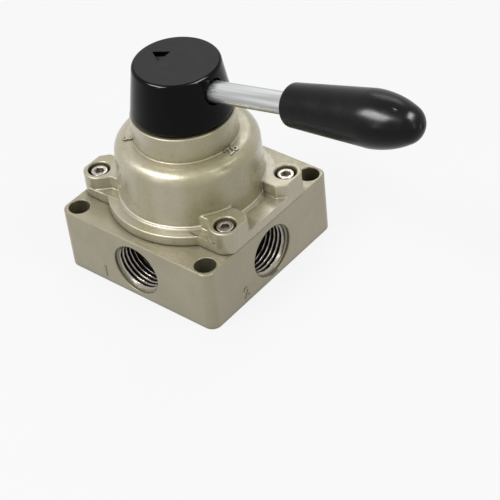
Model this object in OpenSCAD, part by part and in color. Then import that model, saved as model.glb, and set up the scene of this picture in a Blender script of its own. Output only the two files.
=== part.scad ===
// Hand-lever rotary disc valve, four ports and three positions.
// Millimetres. The origin is the centre of the mounting face, +Z is up along the
// spindle, and the lever points along +X in the middle position.

/* [Block] */
// Width and depth of the square valve block
block_w = 72; // [70:1:90]
// Height of the valve block
block_h = 26.4; // [26:0.2:36]
// Radius of the block's upright corners
block_corner_r = 4; // [1:0.5:5]
// Diameter of the four through holes for mounting
mount_hole_d = 8; // [5:0.5:8.4]
// Distance from the block's faces to a mounting hole's axis
mount_inset = 5.3; // [5:0.1:6.5]

/* [Ports] */
// Major diameter of the port thread, G 1/2
port_d = 20.96; // [13.16:0.01:21]
// Depth of the threaded part of a port
port_depth = 14; // [10:0.5:15]
// Height of the port axes above the mounting face
port_z = 13; // [12:0.1:13.4]
// Diameter of the drilled passage behind the thread
passage_d = 12; // [8:0.5:13]
// Diameter of the passages that rise to the disc
riser_d = 9.6; // [7:0.1:10]
// Distance from the spindle axis to each rising passage
riser_r = 14; // [13.5:0.1:15]

/* [Seat] */
// Radius of the lapped seat plate
seat_r = 22.4; // [21.5:0.1:23]
// Thickness of the seat plate
seat_t = 3; // [2:0.1:4]
// Depth of the round recess that holds the seat plate
seat_recess = 1; // [0.5:0.1:1.4]
// Diameter of the two pins that stop the seat plate turning
seat_pin_d = 3; // [2:0.5:3]
// Distance from the spindle axis to the seat pins
seat_pin_r = 19; // [18:0.1:20]
// Cord diameter of the seals under the seat plate
port_seal_d = 1.5; // [1:0.1:1.8]
// Cord diameter of the seal between block and cover
cover_seal_d = 1.6; // [1:0.1:1.8]

/* [Disc] */
// Outer radius of the rotary disc
disc_r = 21; // [20:0.1:21.5]
// Thickness of the disc's rim
disc_rim_t = 7.5; // [6.5:0.1:9]
// Thickness of the disc at its hub
disc_hub_t = 9; // [8.5:0.1:11]
// Radius of the disc's hub
disc_hub_r = 12.6; // [12.2:0.1:14]
// Width of the kidney grooves that join two ports
groove_w = 8.6; // [6:0.1:9]
// Depth of the kidney grooves
groove_depth = 4.5; // [3:0.1:5.5]

/* [Cover flange] */
// Thickness of the cover's flange
flange_t = 4.2; // [3:0.1:6]
// Radius of the flange's two round sides
flange_r = 32.3; // [30.5:0.1:34]
// Distance from the block's side faces to the cover screws
screw_inset = 5.5; // [5:0.1:6]
// Distance from the cover's middle plane to the cover screws
screw_y = 17.8; // [17:0.1:19]
// Radius of a screw boss
boss_r = 5.95; // [5.5:0.05:6.2]
// Height of the screw bosses above the flange
boss_h = 5.4; // [5:0.1:7]
// Distance from the middle plane to a boss's inner wall
boss_inner_y = 8.7; // [7:0.1:10]
// Distance from the middle plane to a boss's outer wall beside the dome
boss_outer_y = 19.1; // [18.5:0.1:20]
// Size of the slanted corner on a boss's inner wall
boss_corner = 3; // [1:0.1:4]

/* [Cover dome] */
// Radius of the dome where it leaves the flange
dome_foot_r = 27.7; // [27:0.1:29]
// Radius of the dome below its shoulder
dome_top_r = 27.1; // [26.5:0.1:27.7]
// Height of the shoulder above the flange
dome_h = 23.3; // [22.8:0.1:28]
// Radius of the rounded shoulder
shoulder_r = 5.2; // [3:0.1:6]
// Size of the small slope at the dome's foot
foot_slope = 0.8; // [0.4:0.1:1.2]
// Radius of the collar under the knob
collar_r = 19.4; // [19.2:0.1:20.2]
// Height of the collar above the shoulder
collar_h = 10.3; // [9.6:0.1:14]
// Radius of the chamber inside the dome
chamber_r = 23.4; // [23:0.1:24]
// Thickness of the dome's roof
roof_t = 4.1; // [3:0.1:5]
// Radius of the recess in the collar's top
collar_recess_r = 16; // [15.8:0.1:16.6]
// Depth of the recess in the collar's top
collar_recess = 4.2; // [3.8:0.1:5]

/* [Cover screws] */
// Thread diameter of the cover screws, M4
screw_d = 4; // [3:0.5:4]
// Length of the cover screws below the head
screw_len = 14; // [12:1:16]
// Diameter of a screw head
head_d = 6.9; // [6:0.1:7.2]
// Height of a screw head
head_h = 4; // [3:0.1:4]
// Width across flats of the hexagon socket
socket_af = 3; // [2:0.5:3]
// Depth of the hexagon socket
socket_depth = 2; // [1:0.1:2.2]
// Diameter of the counterbore around a head
counterbore_d = 8.4; // [8.2:0.1:8.8]
// Thickness of a spring washer
washer_t = 0.9; // [0.6:0.1:1]

/* [Spindle] */
// Diameter of the spindle's bearing
spindle_d = 16; // [14:0.5:16]
// Radius of the flange that carries the spring and the thrust washer
spindle_flange_r = 13; // [12.4:0.1:14]
// Thickness of that flange
spindle_flange_t = 3; // [2:0.1:4]
// Diameter of the spindle's lower end, which enters the disc
tail_d = 13; // [11:0.5:13.4]
// Depth to which the lower end enters the disc
tail_depth = 4; // [3:0.1:4]
// Width across flats of the square that drives the hub
square_af = 11; // [9:0.1:11.2]
// Height of the square
square_h = 5.3; // [4:0.1:5.5]
// Diameter of the cross pin that drives the disc
drive_pin_d = 3; // [2:0.1:3]
// Length of the cross pin
drive_pin_len = 17.6; // [16:0.1:19]
// Thickness of the thrust washer
thrust_t = 1.1; // [0.8:0.1:1.5]
// Wall of the bearing bush
bush_wall = 2; // [1.5:0.1:2.5]
// Length of the bearing bush
bush_len = 8; // [6:0.1:8.4]
// Cord diameter of the spindle seal
spindle_seal_d = 1.8; // [1.5:0.1:1.9]
// Radius of the disc spring's coil
disc_spring_r = 10.7; // [10.2:0.1:11]
// Wire diameter of the disc spring
disc_wire_d = 1.4; // [1:0.1:1.6]
// Number of turns of the disc spring
disc_turns = 2.5; // [2:0.5:3]
// Height of the disc spring as fitted
disc_spring_h = 5.6; // [5:0.1:8]

/* [Hub and detent] */
// Radius of the hub's flange
hub_flange_r = 15.3; // [15:0.1:15.4]
// Thickness of the hub's flange
hub_flange_t = 7.7; // [7.4:0.1:8]
// Radius of the hub's tower
hub_tower_r = 12; // [11:0.1:12.5]
// Height of the hub above its flange
hub_tower_h = 13; // [12.6:0.1:13.3]
// Diameter of the hub screw, M6
hub_screw_d = 6; // [5:0.5:6]
// Diameter of the hub screw's head
hub_head_d = 10; // [9:0.1:10.4]
// Height of the hub screw's head
hub_head_h = 2.3; // [2:0.1:2.4]
// Length of the hub screw below the head
hub_screw_len = 14; // [10:1:16]
// Thickness of the washer under that head
hub_washer_t = 1; // [0.8:0.1:1.1]
// Distance from the spindle axis to the detent balls and the stop pin
detent_r = 12; // [11.8:0.1:12.2]
// Diameter of a detent ball
ball_d = 5; // [4:0.5:5]
// How deep a ball runs in its track
track_depth = 1.3; // [0.8:0.1:1.5]
// Depth of the three dimples in a track's floor
dimple_depth = 0.8; // [0.4:0.1:1]
// Wire diameter of a detent spring
detent_wire_d = 0.5; // [0.4:0.1:0.6]
// Diameter of the stop pin
stop_pin_d = 3; // [2:0.5:3]
// Swing of the lever each way from the middle position, degrees
swing = 45; // [40:1:45]

/* [Knob] */
// Radius of the knob at its lower edge
knob_bottom_r = 19.1; // [18.8:0.1:19.6]
// Radius of the knob at its top
knob_top_r = 16; // [15.5:0.1:17]
// Height of the knob
knob_h = 20.4; // [20.2:0.1:24]
// Running gap between the knob and the collar
knob_gap = 0.3; // [0.2:0.05:0.5]
// Wall of the knob's side
knob_wall = 2.2; // [2:0.1:2.5]
// Thickness of the knob's roof
knob_roof = 3.4; // [3:0.1:3.7]
// Radius of the knob's rounded top edge
knob_edge_r = 1.5; // [0.5:0.1:2]
// Radius of the knob's rounded lower edge
knob_lip_r = 1.6; // [0.5:0.1:1.7]
// Width of the pointer recess in the knob's top
pointer_w = 7; // [4:0.1:8]
// Length of the pointer recess
pointer_len = 5.7; // [3:0.1:8]
// Distance from the spindle axis to the pointer's tip
pointer_r = 11.1; // [9:0.1:12.5]
// Depth of the pointer recess
pointer_depth = 2.2; // [0.5:0.1:2.6]
// Clearance of the knob's side hole around the lever rod
rod_hole_gap = 0.8; // [0.6:0.1:1.3]

/* [Lever] */
// Tilt of the lever above the horizontal, degrees
tilt = 12; // [8:0.5:14]
// Height of the lever axis above the hub's flange
lever_h = 6.2; // [6:0.1:6.4]
// Diameter of the lever rod
rod_d = 8; // [6:0.5:8]
// Distance that the rod runs past the spindle axis
rod_inner = 8; // [6:0.5:9]
// Length of rod inside the grip
rod_in_grip = 22; // [16:0.5:26]
// Wall of the brass insert in the grip
insert_wall = 2; // [1.5:0.1:2.4]
// Length of the brass insert
insert_len = 20; // [14:0.5:24]

/* [Grip] */
// Distance from the spindle axis to the grip, along the lever
grip_start = 52.5; // [45:0.5:70]
// Length of the grip's conical part
grip_cone_len = 34.5; // [26:0.5:45]
// Length of the grip's rounded end
grip_end_len = 19.4; // [17:0.1:30]
// Radius of the grip at its start
grip_start_r = 7.6; // [7:0.1:8.5]
// Largest radius of the grip
grip_max_r = 9.9; // [9:0.1:11]
// Radius of the grip's blunt tip
grip_tip_r = 7; // [4:0.1:8]
// Radius of the rounded edge at the grip's start
grip_edge_r = 1.6; // [0.5:0.1:2.5]

/* [Fits] */
// Radial clearance of a running or sliding fit
run_fit = 0.03; // [0.01:0.01:0.08]
// Radial clearance between pieces that are pressed or screwed together
seat_fit = 0.02; // [0.01:0.01:0.05]
// Clearance between flat faces that slide on each other
film = 0.05; // [0.02:0.01:0.1]
// Clearance of a screw in its through hole
screw_gap = 0.25; // [0.1:0.05:0.4]

/* [Hidden] */
$fn = 96;
eps = 0.01;
ports = 4;
positions = 3;

// Small fixed clearances, walls and overlaps.
lap = 1;
loose = 0.2;
end_gap = 0.3;
pin_gap = 0.4;
slot_gap = 0.1;
cutter_play = 0.04;
stop_play = 0.5;
groove_side = 0.2;
groove_wall = 0.7;
drill_slope = 31;
spotface_depth = 0.3;
boss_root = 12;
neck_margin = 1;
washer_split = 0.6;
head_edge = 0.3;
hub_socket_af = 4;
hub_socket_depth = 1.6;
ball_roof = 1;
dimple_r = 1.6;
detent_turns = 4;
stop_pin_seat = 3;
stop_slot_depth = 2.6;
knob_ring_wall = 1.6;
knob_ribs = 6;
knob_rib_t = 1.6;
insert_start = 1;
insert_grooves = [0.25, 0.65];
insert_groove_w = 2;
insert_groove_depth = 0.5;

// Levels, from the mounting face up.
seat_floor_z = block_h - seat_recess;
disc_z = seat_floor_z + seat_t + film;
disc_top_z = disc_z + disc_hub_t;
spindle_flange_z = disc_top_z + disc_spring_h;
thrust_z = spindle_flange_z + spindle_flange_t + film;
neck_z = thrust_z + thrust_t + film;
flange_z = block_h + flange_t;
shoulder_z = flange_z + dome_h;
collar_z = shoulder_z + collar_h;
recess_z = collar_z - collar_recess;
ceiling_z = shoulder_z - roof_t;
hub_z = recess_z + knob_gap;
square_top_z = hub_z + square_h;
knob_z = collar_z + knob_gap;
knob_top_z = knob_z + knob_h;
lever_z = hub_z + hub_flange_t + lever_h;

// Places and sizes that follow from the ones above.
screw_x = block_w / 2 - screw_inset;
mount_x = block_w / 2 - mount_inset;
counterbore_z = flange_z - spotface_depth;
passage_end = riser_r - passage_d / 2 + lap;
drill_tip = passage_d / 2 * tan(drill_slope);
seal_groove_w = port_seal_d + 2 * groove_side;
port_seal_r = (riser_d + seal_groove_w) / 2 + groove_wall;
cover_groove_w = cover_seal_d + 2 * groove_side;
cover_seal_r = chamber_r + cover_groove_w / 2 + groove_wall;
neck_r = spindle_d / 2 + bush_wall;
spindle_seal_r = (spindle_d + spindle_seal_d) / 2 + run_fit;
seal_groove_h = spindle_seal_d + groove_side;
seal_groove_z = neck_z + bush_len + lap;
tail_z = disc_top_z - tail_depth;
cross_pin_z = disc_top_z - drive_pin_d / 2 - pin_gap;
ball_z = recess_z - track_depth + film + ball_d / 2;
track_w = 2 * sqrt(pow(ball_d / 2, 2) - pow(ball_z - recess_z, 2)) + 2 * film;
ball_bore_top = hub_z + hub_flange_t - ball_roof;
detent_coil_r = (ball_d - detent_wire_d) / 2 - end_gap;
detent_coil_z = ball_z + sqrt(pow(ball_d / 2, 2) - pow(detent_coil_r, 2)) + detent_wire_d / 2;
stop_slot_w = stop_pin_d + 2 * slot_gap;
tower_z = hub_z + hub_flange_t + hub_tower_h;
knob_slope = (knob_bottom_r - knob_top_r) / knob_h;
tip_arc_r = (pow(grip_end_len - grip_tip_r, 2) + pow(grip_max_r, 2) - pow(grip_tip_r, 2))
            / (2 * (grip_max_r - grip_tip_r));

// Copies its children to the four ports.
module at_ports() {
  for (i = [0 : ports - 1]) rotate([0, 0, i * 360 / ports]) children();
}

// Copies its children to the four cover screws, mirrored so that they match.
module at_screws() {
  for (sx = [0, 1], sy = [0, 1])
    mirror([sx, 0, 0]) mirror([0, sy, 0]) translate([screw_x, screw_y, 0]) children();
}

// Lays its children, drawn along +Z, on the tilted lever axis.
module on_lever() {
  translate([0, 0, lever_z]) rotate([0, 90 - tilt, 0]) children();
}

// A square plan with round corners.
module round_square(w, d, r) {
  square([w - 2 * r, d], center = true);
  square([w, d - 2 * r], center = true);
  for (sx = [-1, 1], sy = [-1, 1]) translate([sx * (w / 2 - r), sy * (d / 2 - r)]) circle(r);
}

// A flat ring standing on z = 0.
module ring(r_out, r_in, h) {
  difference() {
    cylinder(r = r_out, h = h);
    translate([0, 0, -eps]) cylinder(r = r_in, h = h + 2 * eps);
  }
}

// A seal ring of round cord with its centre on z = 0.
module cord_ring(r, d) {
  rotate_extrude() translate([r, 0]) circle(d = d);
}

// A curved slot in plan: an arc of radius r and width w, half_angle each way
// from +X, with round ends that are a trace wider, where the cutter dwells.
module arc_slot(r, w, half_angle) {
  far = 2 * (r + w);
  intersection() {
    difference() {
      circle(r + w / 2);
      circle(r - w / 2);
    }
    polygon([[0, 0], [far * cos(half_angle), -far * sin(half_angle)], [far, -far * sin(half_angle)],
             [far, far * sin(half_angle)], [far * cos(half_angle), far * sin(half_angle)]]);
  }
  for (s = [-1, 1]) rotate(s * half_angle) translate([r, 0]) circle(d = w + cutter_play);
}

// A helical spring of round wire from z = 0 to z = h, as one swept tube.
// Each ring of the tube is a small circle whose plane holds the spring's axis.
module coil_spring(r, wire, h, turns, per_turn = 20, sides = 8) {
  n = round(turns * per_turn);
  rise = h - wire;
  ring_pts = [for (i = [0 : n], k = [0 : sides - 1])
    let (a = 360 * turns * i / n, b = 360 * k / sides, q = r + wire / 2 * cos(b))
      [q * cos(a), q * sin(a), wire / 2 + rise * i / n + wire / 2 * sin(b)]];
  walls = [for (i = [0 : n - 1], k = [0 : sides - 1])
    let (k2 = (k + 1) % sides)
      [i * sides + k, i * sides + k2, (i + 1) * sides + k2, (i + 1) * sides + k]];
  polyhedron(ring_pts, concat(walls, [[for (k = [sides - 1 : -1 : 0]) k]],
                              [[for (k = [0 : sides - 1]) n * sides + k]]), convexity = 6);
}

// The block: four threaded ports, each with a passage that turns up to the seat.
module valve_body() {
  color([0.66, 0.63, 0.55])
  difference() {
    linear_extrude(block_h) round_square(block_w, block_w, block_corner_r);
    translate([0, 0, seat_floor_z]) cylinder(r = seat_r + seat_fit, h = seat_recess + eps);
    at_ports() port_cavity();
    for (sx = [-1, 1], sy = [-1, 1])
      translate([sx * mount_x, sy * mount_x, -eps]) cylinder(d = mount_hole_d, h = block_h + 2 * eps);
    at_screws() translate([0, 0, flange_z - screw_len - lap])
      cylinder(r = screw_d / 2 + seat_fit, h = screw_len);
    for (s = [-1, 1]) rotate([0, 0, 45]) translate([s * seat_pin_r, 0, seat_floor_z - seat_t])
      cylinder(r = seat_pin_d / 2 + seat_fit, h = seat_t + eps);
    translate([0, 0, block_h - cover_seal_d])
      ring(cover_seal_r + cover_groove_w / 2, cover_seal_r - cover_groove_w / 2, cover_seal_d + eps);
  }
}

// One port's cavity on the +X side: thread bore, drilled passage, rising passage
// and the groove for its seal.
module port_cavity() {
  translate([block_w / 2 - port_depth, 0, port_z]) rotate([0, 90, 0])
    cylinder(d = port_d, h = port_depth + eps);
  translate([passage_end, 0, port_z]) rotate([0, 90, 0])
    cylinder(d = passage_d, h = block_w / 2 - port_depth - passage_end + eps);
  translate([passage_end - drill_tip, 0, port_z]) rotate([0, 90, 0])
    cylinder(r1 = 0, r2 = passage_d / 2, h = drill_tip + eps);
  translate([riser_r, 0, port_z]) cylinder(d = riser_d, h = block_h - port_z);
  translate([riser_r, 0, seat_floor_z - port_seal_d])
    ring(port_seal_r + seal_groove_w / 2, port_seal_r - seal_groove_w / 2, port_seal_d + eps);
}

// Lapped plate on which the disc turns.
module seat_plate() {
  color([0.80, 0.80, 0.78])
  translate([0, 0, seat_floor_z])
  difference() {
    cylinder(r = seat_r, h = seat_t);
    at_ports() translate([riser_r, 0, -eps]) cylinder(d = riser_d, h = seat_t + 2 * eps);
    for (s = [-1, 1]) rotate([0, 0, 45]) translate([s * seat_pin_r, 0, -eps])
      cylinder(r = seat_pin_d / 2 + seat_fit, h = seat_t + 2 * eps);
  }
}

// Two pins between block and seat plate.
module seat_pins() {
  color([0.72, 0.72, 0.74])
  for (s = [-1, 1]) rotate([0, 0, 45]) translate([s * seat_pin_r, 0, seat_floor_z - seat_t])
    cylinder(d = seat_pin_d, h = 2 * seat_t - pin_gap);
}

// Four seals around the rising passages, under the seat plate.
module port_seals() {
  color([0.1, 0.1, 0.1])
  at_ports() translate([riser_r, 0, seat_floor_z - port_seal_d / 2]) cord_ring(port_seal_r, port_seal_d);
}

// Seal between block and cover.
module cover_seal() {
  color([0.1, 0.1, 0.1])
  translate([0, 0, block_h - cover_seal_d / 2]) cord_ring(cover_seal_r, cover_seal_d);
}

// Plan of the flange: a disc with a cross bar that ends flush with the block's
// two side faces. The bosses round off the bar's corners.
module flange_plan() {
  circle(flange_r);
  square([block_w, 2 * screw_y], center = true);
  square([2 * screw_x, 2 * (screw_y + boss_r)], center = true);
}

// Plan of one screw boss: round about the screw, flush with the side face, with
// a slanted wall towards the dome on each side.
module boss_plan() {
  slant_x = screw_x - screw_y - boss_r * sqrt(2) + boss_outer_y;
  touch = boss_r / sqrt(2);
  intersection() {
    union() {
      translate([screw_x, screw_y]) circle(boss_r);
      polygon([[dome_top_r - boss_root, boss_inner_y], [block_w / 2 - boss_corner, boss_inner_y],
               [block_w / 2, boss_inner_y + boss_corner], [block_w / 2, screw_y],
               [screw_x, screw_y], [screw_x - touch, screw_y + touch],
               [slant_x, boss_outer_y], [dome_top_r - boss_root, boss_outer_y]]);
    }
    square([block_w, block_w], center = true);
  }
}

// Profile of the dome and its collar, from the flange's top upwards.
module dome_profile() {
  fillet_x = dome_top_r - shoulder_r;
  fillet_z = shoulder_z - shoulder_r;
  polygon([[0, flange_z - lap], [dome_foot_r, flange_z - lap], [dome_foot_r, flange_z],
           [dome_top_r, fillet_z], [fillet_x, fillet_z], [fillet_x, shoulder_z], [0, shoulder_z]]);
  translate([fillet_x, fillet_z]) circle(shoulder_r);
  polygon([[0, flange_z - lap], [dome_foot_r + foot_slope + lap, flange_z - lap],
           [dome_foot_r, flange_z + foot_slope], [0, flange_z + foot_slope]]);
  translate([0, shoulder_z - lap]) square([collar_r, collar_h + lap]);
}

// Profile of the chamber, with a round upper corner inside the shoulder.
module chamber_profile() {
  inner_r = max(shoulder_r - roof_t, lap);
  translate([0, block_h - lap]) square([chamber_r, ceiling_z - inner_r - block_h + lap]);
  translate([0, block_h]) square([chamber_r - inner_r, ceiling_z - block_h]);
  translate([chamber_r - inner_r, ceiling_z - inner_r]) circle(inner_r);
}

// The cast cover: flange, four bosses, dome, collar, and the neck that carries
// the spindle's bush and seal.
module top_cover() {
  color([0.69, 0.66, 0.57])
  difference() {
    union() {
      translate([0, 0, block_h]) linear_extrude(flange_t) flange_plan();
      for (sx = [0, 1], sy = [0, 1]) mirror([sx, 0, 0]) mirror([0, sy, 0])
        translate([0, 0, block_h]) linear_extrude(flange_t + boss_h) boss_plan();
      rotate_extrude() dome_profile();
    }
    difference() {
      rotate_extrude() chamber_profile();
      translate([0, 0, neck_z]) cylinder(r = spindle_flange_r + neck_margin, h = shoulder_z - neck_z);
    }
    translate([0, 0, recess_z]) cylinder(r = collar_recess_r, h = collar_recess + eps);
    translate([0, 0, neck_z - lap]) cylinder(r = neck_r + seat_fit, h = bush_len + lap);
    translate([0, 0, neck_z]) cylinder(r = spindle_d / 2 + loose, h = collar_z - neck_z);
    translate([0, 0, seal_groove_z]) cylinder(r = spindle_seal_r + spindle_seal_d / 2, h = seal_groove_h);
    at_screws() {
      cylinder(d = screw_d + 2 * screw_gap, h = collar_z);
      translate([0, 0, counterbore_z]) cylinder(d = counterbore_d, h = boss_h + lap);
    }
    for (side = [90, 270]) rotate([0, 0, side]) detent_track();
    rotate([0, 0, 180]) translate([detent_r, 0, recess_z - stop_pin_seat])
      cylinder(r = stop_pin_d / 2 + seat_fit, h = stop_pin_seat + eps);
  }
}

// The milled arc in which one ball runs, with a drilled dimple for each lever
// position.
module detent_track() {
  translate([0, 0, recess_z - track_depth]) {
    linear_extrude(track_depth + eps) arc_slot(detent_r, track_w, swing);
    for (i = [0 : positions - 1]) rotate([0, 0, (i - 1) * swing])
      translate([detent_r, 0, -dimple_depth]) cylinder(r1 = 0, r2 = dimple_r, h = dimple_depth + eps);
  }
}

// Four socket head screws that hold the cover on the block.
module cover_screws() {
  color([0.78, 0.78, 0.76])
  at_screws() translate([0, 0, counterbore_z + washer_t]) {
    translate([0, 0, -screw_len]) cylinder(d = screw_d, h = screw_len + eps);
    socket_head(head_d, head_h, socket_af, socket_depth);
  }
}

// A cylinder head with a slightly broken upper edge and a hexagon socket.
module socket_head(d, h, af, depth) {
  difference() {
    union() {
      cylinder(d = d, h = h - head_edge);
      translate([0, 0, h - head_edge]) cylinder(d1 = d, d2 = d - 2 * head_edge, h = head_edge);
    }
    translate([0, 0, h - depth]) cylinder(d = af / cos(30), h = depth + eps, $fn = 6);
  }
}

// Split washers under the cover screws' heads.
module spring_washers() {
  color([0.6, 0.6, 0.6])
  at_screws() translate([0, 0, counterbore_z]) difference() {
    ring(head_d / 2 + loose, screw_d / 2 + loose, washer_t);
    rotate([0, 0, 30]) translate([0, -washer_split / 2, -eps])
      cube([head_d, washer_split, washer_t + 2 * eps]);
  }
}

// Bearing bush, pressed into the neck.
module spindle_bush() {
  color([0.75, 0.58, 0.30])
  translate([0, 0, neck_z]) ring(neck_r, spindle_d / 2 + run_fit, bush_len);
}

// Seal around the spindle, in its groove in the neck.
module spindle_seal() {
  color([0.1, 0.1, 0.1])
  translate([0, 0, seal_groove_z + seal_groove_h / 2]) cord_ring(spindle_seal_r, spindle_seal_d);
}

// Washer between the spindle's flange and the neck.
module thrust_washer() {
  color([0.9, 0.88, 0.82])
  translate([0, 0, thrust_z]) ring(spindle_flange_r, spindle_d / 2 + loose, thrust_t);
}

// Pin in the collar's recess that ends the lever's swing.
module stop_pin() {
  color([0.72, 0.72, 0.74])
  rotate([0, 0, 180]) translate([detent_r, 0, recess_z - stop_pin_seat])
    cylinder(d = stop_pin_d, h = stop_pin_seat + stop_slot_depth - film);
}

// The disc: two blind kidney grooves in the lapped face, a socket for the
// spindle and a slot for the cross pin.
module rotary_disc() {
  half_angle = 45;
  color([0.62, 0.64, 0.66])
  translate([0, 0, disc_z])
  difference() {
    union() {
      cylinder(r = disc_r, h = disc_rim_t);
      cylinder(r = disc_hub_r, h = disc_hub_t);
    }
    for (side = [0, 180]) rotate([0, 0, side]) translate([0, 0, -eps])
      linear_extrude(groove_depth + eps) arc_slot(riser_r, groove_w, half_angle);
    translate([0, 0, disc_hub_t - tail_depth - end_gap])
      cylinder(r = tail_d / 2 + run_fit, h = tail_depth + lap);
    translate([-drive_pin_d / 2 - film, -drive_pin_len / 2 - pin_gap,
               cross_pin_z - disc_z - drive_pin_d / 2 - film])
      cube([drive_pin_d + 2 * film, drive_pin_len + 2 * pin_gap, disc_hub_t]);
  }
}

// The spindle: tail, flange, bearing and square, drilled for pin and screw.
module spindle() {
  color([0.70, 0.71, 0.73])
  difference() {
    union() {
      translate([0, 0, tail_z]) cylinder(d = tail_d, h = spindle_flange_z - tail_z + eps);
      translate([0, 0, spindle_flange_z]) cylinder(r = spindle_flange_r, h = spindle_flange_t);
      translate([0, 0, spindle_flange_z]) cylinder(d = spindle_d, h = recess_z - spindle_flange_z);
      intersection() {
        translate([0, 0, (spindle_flange_z + square_top_z) / 2])
          cube([square_af, square_af, square_top_z - spindle_flange_z], center = true);
        translate([0, 0, spindle_flange_z]) cylinder(d = spindle_d - 2 * loose, h = square_top_z);
      }
    }
    translate([0, 0, cross_pin_z]) rotate([90, 0, 0])
      cylinder(r = drive_pin_d / 2 + seat_fit, h = tail_d + 2 * lap, center = true);
    translate([0, 0, square_top_z - hub_screw_len - lap])
      cylinder(r = hub_screw_d / 2 + seat_fit, h = hub_screw_len + 2 * lap);
  }
}

// Cross pin that turns the disc and lets it float along the spindle.
module drive_pin() {
  color([0.72, 0.72, 0.74])
  translate([0, 0, cross_pin_z]) rotate([90, 0, 0])
    cylinder(d = drive_pin_d, h = drive_pin_len, center = true);
}

// Spring that presses the disc on its seat.
module disc_spring() {
  color([0.55, 0.56, 0.58])
  translate([0, 0, disc_top_z + film])
    coil_spring(disc_spring_r, disc_wire_d, disc_spring_h - 2 * film, disc_turns,
                per_turn = 24, sides = 10);
}

// The hub under the knob: it sits on the spindle's square, holds the lever rod
// and the detents, and has the slot that the stop pin runs in.
module lever_hub() {
  color([0.58, 0.58, 0.57])
  difference() {
    union() {
      translate([0, 0, hub_z]) cylinder(r = hub_flange_r, h = hub_flange_t);
      translate([0, 0, hub_z]) cylinder(r = hub_tower_r, h = hub_flange_t + hub_tower_h);
    }
    translate([0, 0, hub_z + square_h / 2 - eps])
      cube([square_af + 2 * run_fit, square_af + 2 * run_fit, square_h + 2 * eps], center = true);
    translate([0, 0, square_top_z])
      cylinder(d = hub_head_d + 2 * end_gap, h = tower_z - square_top_z + eps);
    on_lever() translate([0, 0, -rod_inner - end_gap])
      cylinder(r = rod_d / 2 + seat_fit, h = rod_inner + 2 * hub_flange_r);
    for (side = [90, 270]) rotate([0, 0, side]) translate([detent_r, 0, hub_z - eps])
      cylinder(r = ball_d / 2 + run_fit, h = ball_bore_top - hub_z);
    rotate([0, 0, 180]) translate([0, 0, hub_z - eps])
      linear_extrude(stop_slot_depth) arc_slot(detent_r, stop_slot_w, swing + stop_play);
  }
}

// Washer between the hub screw and the spindle's square.
module hub_washer() {
  color([0.72, 0.72, 0.74])
  translate([0, 0, square_top_z]) ring(hub_head_d / 2 + loose, hub_screw_d / 2 + loose, hub_washer_t);
}

// Screw that holds the hub on the spindle.
module hub_screw() {
  color([0.72, 0.72, 0.74])
  translate([0, 0, square_top_z + hub_washer_t]) {
    translate([0, 0, -hub_screw_len]) cylinder(d = hub_screw_d, h = hub_screw_len + eps);
    socket_head(hub_head_d, hub_head_h, hub_socket_af, hub_socket_depth);
  }
}

// Two steel balls that run in the tracks.
module detent_balls() {
  color([0.82, 0.82, 0.84])
  for (side = [90, 270]) rotate([0, 0, side]) translate([detent_r, 0, ball_z]) sphere(d = ball_d);
}

// Springs above the two balls.
module detent_springs() {
  color([0.55, 0.56, 0.58])
  for (side = [90, 270]) rotate([0, 0, side]) translate([detent_r, 0, detent_coil_z])
    coil_spring(detent_coil_r, detent_wire_d, ball_bore_top - detent_coil_z - film,
                detent_turns, per_turn = 16);
}

// Outer profile of the knob, with a round top edge and a round lower edge, both
// tangent to its slanted side.
module knob_profile() {
  edge_angle = atan(knob_slope);
  side_x = knob_top_r - knob_edge_r;
  arc_x = side_x - knob_edge_r * (1 / cos(edge_angle) - 1 - tan(edge_angle));
  arc_z = knob_top_z - knob_edge_r;
  touch_x = arc_x + knob_edge_r * cos(edge_angle);
  touch_z = arc_z + knob_edge_r * sin(edge_angle);
  lip_x = knob_bottom_r - knob_lip_r * (tan(edge_angle) + 1 / cos(edge_angle));
  lip_z = knob_z + knob_lip_r;
  lip_touch_x = lip_x + knob_lip_r * cos(edge_angle);
  lip_touch_z = lip_z + knob_lip_r * sin(edge_angle);
  polygon([[0, knob_z], [lip_x, knob_z], [lip_x, lip_z], [lip_touch_x, lip_touch_z],
           [touch_x, touch_z], [arc_x, arc_z], [arc_x, knob_top_z], [0, knob_top_z]]);
  translate([arc_x, arc_z]) circle(knob_edge_r);
  translate([lip_x, lip_z]) circle(knob_lip_r);
}

// The moulded knob: a tapered cap with a pointer recess, a hole for the rod, and
// inside it a ring and ribs that grip the hub's tower.
module knob() {
  inner_top = knob_top_z - knob_roof;
  ring_z = hub_z + hub_flange_t + end_gap;
  ring_h = inner_top - ring_z + lap;
  color([0.07, 0.07, 0.08])
  difference() {
    union() {
      difference() {
        rotate_extrude() knob_profile();
        translate([0, 0, knob_z - eps])
          cylinder(r1 = knob_bottom_r - knob_wall, r2 = knob_top_r - knob_wall,
                   h = inner_top - knob_z + eps);
      }
      translate([0, 0, ring_z]) ring(hub_tower_r + knob_ring_wall, hub_tower_r + seat_fit, ring_h);
      for (i = [0 : knob_ribs - 1]) rotate([0, 0, (i + 0.5) * 360 / knob_ribs])
        translate([hub_tower_r + lap, -knob_rib_t / 2, ring_z])
          cube([knob_top_r - knob_wall - hub_tower_r, knob_rib_t, ring_h]);
    }
    translate([-pointer_r, 0, knob_top_z - pointer_depth]) linear_extrude(pointer_depth + eps)
      polygon([[0, 0], [pointer_len, pointer_w / 2], [pointer_len, -pointer_w / 2]]);
    on_lever() cylinder(r = rod_d / 2 + rod_hole_gap, h = 2 * knob_bottom_r);
  }
}

// The steel lever rod.
module lever_rod() {
  color([0.80, 0.81, 0.82])
  on_lever() translate([0, 0, -rod_inner]) cylinder(d = rod_d, h = rod_inner + grip_start + rod_in_grip);
}

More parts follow.
